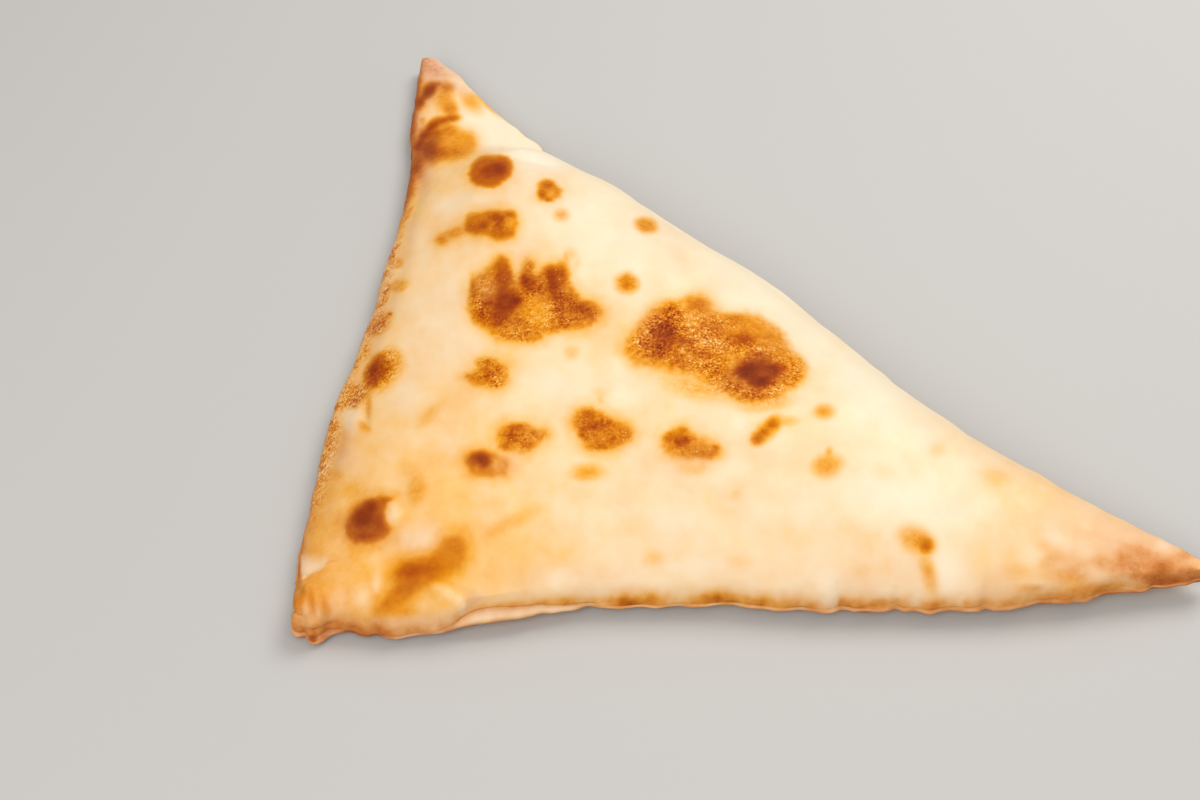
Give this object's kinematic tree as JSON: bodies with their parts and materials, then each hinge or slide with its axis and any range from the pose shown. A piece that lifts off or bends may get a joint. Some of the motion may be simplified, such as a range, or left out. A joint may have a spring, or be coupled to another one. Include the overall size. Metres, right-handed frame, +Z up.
{
  "type": "meat-filled khachapuri",
  "caption": "Baked triangular pastry: thin dough folded corner to corner over a meat filling, pinched shut, gently domed, with a thin back tip and a knobbed corner.",
  "frame": {"origin": "under the middle of the bounding box, on the surface the pastry rests on", "axes": "+Z up through its thickness, +X along the front seam towards the long right tip, +Y from the front seam towards the thin back tip"},
  "size_m": [0.2382, 0.2442, 0.0305],
  "materials": {
    "baked_crust": "matte"
  },
  "bodies": {
    "root": {"khachapuri": "baked_crust"}
  },
  "joints": []
}
